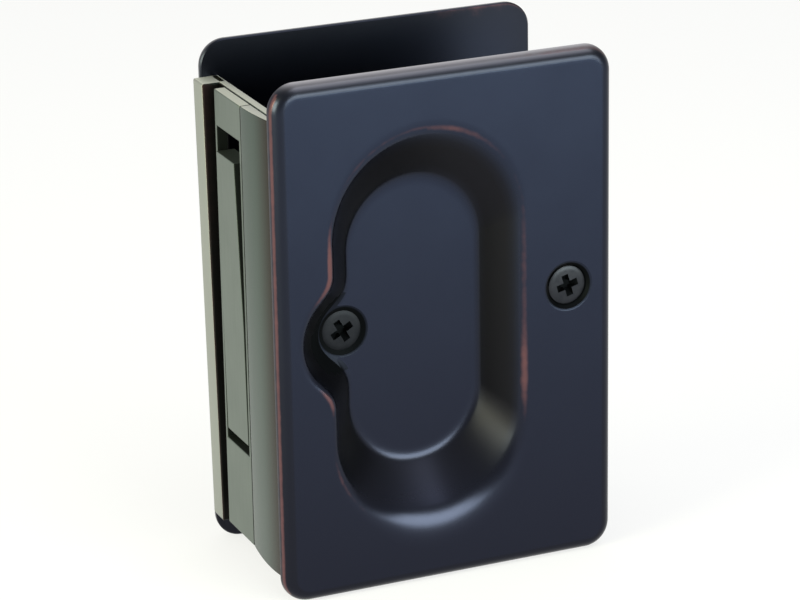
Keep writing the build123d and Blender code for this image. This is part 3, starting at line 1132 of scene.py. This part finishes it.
def sleeve():
    """Turned sleeve with chamfered ends, two grip grooves and its bore."""
    low, high = node_box("clamp_sleeve")
    length = high[1] - low[1]
    radius = (high[0] - low[0]) / 2
    chamfer = 0.4
    groove, groove_floor, groove_mouth = 0.35, 0.5, 0.8
    profile = [(radius - chamfer, 0), (radius, chamfer)]
    for middle in (length * 0.3, length * 0.7):
        profile += [(radius, middle - groove_mouth), (radius - groove, middle - groove_floor)]
        profile += [(radius - groove, middle + groove_floor), (radius, middle + groove_mouth)]
    profile += [(radius, length - chamfer), (radius - chamfer, length)]
    piece = turned(profile, clamp_x, clamp_z, low[1], 1).build("threaded_sleeve", sharp=25)
    bore = clamp_radius + 0.06
    cutter = turned(((bore, -margin), (bore, length + margin)), clamp_x, clamp_z, low[1], 1)
    cut(piece, [cutter.build("bore")])
    return piece


def round_screw_tree():
    """Tree that puts a copy of one small screw on every point, sized and turned by the point's own values."""
    kinds = {"Geometry": "Geometry", "Screw": "Object", "Finish": "Material"}
    maker, given = open_tree("small_screws", kinds)
    screw = maker.node("GeometryNodeObjectInfo", {}, {"Object": given["Screw"]}, "Geometry")
    settings = {"data_type": "FLOAT"}
    size = maker.node("GeometryNodeInputNamedAttribute", settings, {"Name": "size"}, "Attribute")
    spin = maker.node("GeometryNodeInputNamedAttribute", settings, {"Name": "spin"}, "Attribute")
    facing = maker.node("ShaderNodeCombineXYZ", {}, {"X": spin, "Y": 0.0, "Z": 0.0})
    copies = maker.node("GeometryNodeInstanceOnPoints", {}, {
        "Points": given["Geometry"], "Instance": screw, "Rotation": facing, "Scale": size,
    })
    return close_tree(maker, copies, given["Finish"])


def slotted_screw():
    """One small round-headed screw with a slot, along X, its seat at the origin."""
    chamfer, brim = 0.3, 0.15
    slot_half, slot_depth = 0.28, 0.55
    profile = [(small_shank - chamfer, -small_reach), (small_shank, chamfer - small_reach), (small_shank, 0)]
    profile += [(small_head - 0.1, 0), (small_head, brim)]
    for turn in (0.3, 0.6, 0.9, 1.2, 1.45):
        profile.append((small_head * cos(turn), brim + (small_head_height - brim) * sin(turn)))
    screw = turned(profile, 0, 0, 0, 1, 40)
    screw.points = [(y, x, z) for x, y, z in screw.points]
    piece = screw.build("slotted_screw", sharp=30)
    reach = small_head + margin
    slot = block(
        (small_head_height - slot_depth, small_head_height + margin), (-slot_half, slot_half), (-reach, reach)
    )
    cut(piece, [slot.build("slot")])
    return piece


def small_screws():
    """The small screws that hold the tab, guide the tongues and hold the spring, each with its own turn."""
    nodes = {
        "lower_tab_screw": 0.4, "upper_tab_screw": 1.9, "lower_guide_screw": 2.6, "upper_guide_screw": 1.1,
        "spring_screw": 0.8,
    }
    seats = bpy.data.meshes.new("small_screws")
    points, sizes = [], []
    for node in nodes:
        low, high = node_box(node)
        size = (high[1] - low[1]) / (2 * small_head)
        _, y, z = node_middle(node)
        points.append(Vector((high[0] - small_head_height * size, y, z)) * MM)
        sizes.append(size)
    seats.from_pydata(points, [], [])
    seats.attributes.new("size", "FLOAT", "POINT").data.foreach_set("value", sizes)
    seats.attributes.new("spin", "FLOAT", "POINT").data.foreach_set("value", list(nodes.values()))
    screw = slotted_screw()
    inputs = {"Screw": screw, "Finish": finishes["bright_steel"]}
    piece = grown("small_screws", round_screw_tree(), inputs, seats)
    discard(screw)
    return dress(piece, "bright_steel", "front_half", list(nodes))


def build_object():
    """All pieces of the set, each on the body it moves with."""
    faces = (("front", 1, front_wood_z, front_casting), ("rear", -1, rear_wood_z, rear_casting))
    for face, side, wood_z, casting in faces:
        piece = casting()
        paint_casting(piece, side)
        paint_gaps(piece, face_sinks(wood_z))
        dress(piece, "dark_bronze", f"{face}_half", [f"{face}_casting"])
    plate = edge_plate()
    paint_gaps(plate)
    dress(plate, "edge_bronze", "front_half", ["edge_plate"])
    lever = pull_lever()
    paint_gaps(lever, level_shade=lever_shade)
    dress(lever, "edge_bronze", "pull", ["pull_lever"])
    for face, side, wood_z, _ in faces:
        wood_turn, clamp_turn = screw_turns[face]
        screw = wood_screw(f"{face}_face_screw", wood_z, side, wood_turn)
        dress(screw, "dark_screw", f"{face}_half", [f"{face}_wood_screw"])
        screw = clamp_screw(f"{face}_cup_screw", f"{face}_clamp_screw", side, clamp_turn)
        dress(screw, "dark_screw", f"{face}_half", [f"{face}_clamp_screw"])
    dress(sleeve(), "plain_brass", "front_half", ["clamp_sleeve"])
    small_screws()
    for node, slot in (("lever_pin", "bright_steel"), ("lever_spring", "spring_steel")):
        frame["nodes"][node].material_slots[0].material = finishes[slot]


def photo_camera():
    """Camera at the photograph's viewing angle, from the solved directions of the image's sides."""
    place = Vector((-261.2, -605.3, 283.2)) * MM
    right = Vector((0.91618, -0.40040, -0.01693)).normalized()
    ahead = Vector((0.37270, 0.86682, -0.33124)).normalized()
    above = right.cross(ahead)
    data = bpy.data.cameras.new("camera")
    data.sensor_width = 36.0
    data.lens = 158.0
    data.clip_start = 0.01
    camera = bpy.data.objects.new("camera", data)
    scene.collection.objects.link(camera)
    camera.matrix_world = Matrix((
        (right.x, above.x, -ahead.x, place.x),
        (right.y, above.y, -ahead.y, place.y),
        (right.z, above.z, -ahead.z, place.z),
        (0, 0, 0, 1),
    ))
    scene.camera = camera


def pale_floor():
    """Floor that camera and metal see nearly as white as the background, with the object's shadow."""
    material = bpy.data.materials.new("pale_floor")
    material.use_nodes = True
    maker = Maker(material.node_tree)
    matt = maker.node("ShaderNodeBsdfDiffuse", {}, {"Color": opaque((0.9, 0.9, 0.9))})
    white = maker.node("ShaderNodeEmission", {}, {"Strength": 1.0})
    seen = maker.node("ShaderNodeLightPath", output="Is Camera Ray")
    mirrored = maker.node("ShaderNodeLightPath", output="Is Glossy Ray")
    share = 0.7 * (seen + mirrored)
    surface = maker.node("ShaderNodeMixShader", {}, {0: share, 1: matt, 2: white})
    maker.node("ShaderNodeOutputMaterial", {}, {"Surface": surface})
    return material


def studio():
    """Pale floor, three soft lights, and a world that the camera sees white and that is brighter behind."""
    reach = 3000
    corners = [(-reach, -reach, 0), (reach, -reach, 0), (reach, reach, 0), (-reach, reach, 0)]
    floor = Shell(corners, [(0, 1, 2, 3)]).build("floor")
    floor.data.materials.append(pale_floor())
    world = bpy.data.worlds.new("studio")
    scene.world = world
    world.use_nodes = True
    maker = Maker(world.node_tree)
    seen = maker.node("ShaderNodeLightPath", output="Is Camera Ray")
    direction = maker.node("ShaderNodeTexCoord", output="Generated")
    toward_rear = maker.node("ShaderNodeSeparateXYZ", {}, {"Vector": direction}, "Y")
    lit = 0.5 + 0.4 * maker.step(toward_rear, -0.2, 0.6)
    strength = seen + (1 - seen) * lit
    sky = maker.node("ShaderNodeBackground", {}, {"Color": (1, 1, 1, 1), "Strength": strength})
    maker.node("ShaderNodeOutputWorld", {}, {"Surface": sky})
    soft_light("top_light", (230, -300, 720), (500, 500), 1.6, (0.94, 0.97, 1))
    soft_light("front_light", (290, -720, 215), (620, 260), 6.0, (0.92, 1, 0.88))
    soft_light("left_light", (-700, -170, 260), (400, 400), 7.0, (0.98, 1, 0.66))


def soft_light(name, place, size, power, colour):
    """Area light of a width and height, aimed at the middle of the set."""
    data = bpy.data.lights.new(name, "AREA")
    data.color = colour
    data.shape = "RECTANGLE"
    data.size = size[0] * MM
    data.size_y = size[1] * MM
    data.energy = power
    lamp = bpy.data.objects.new(name, data)
    scene.collection.objects.link(lamp)
    lamp.location = Vector(place) * MM
    aim = Vector((0, 0, mid_z)) - Vector(place)
    lamp.rotation_euler = aim.to_track_quat("-Z", "Y").to_euler()


build_object()
studio()
photo_camera()
scene.view_settings.view_transform = "Standard"
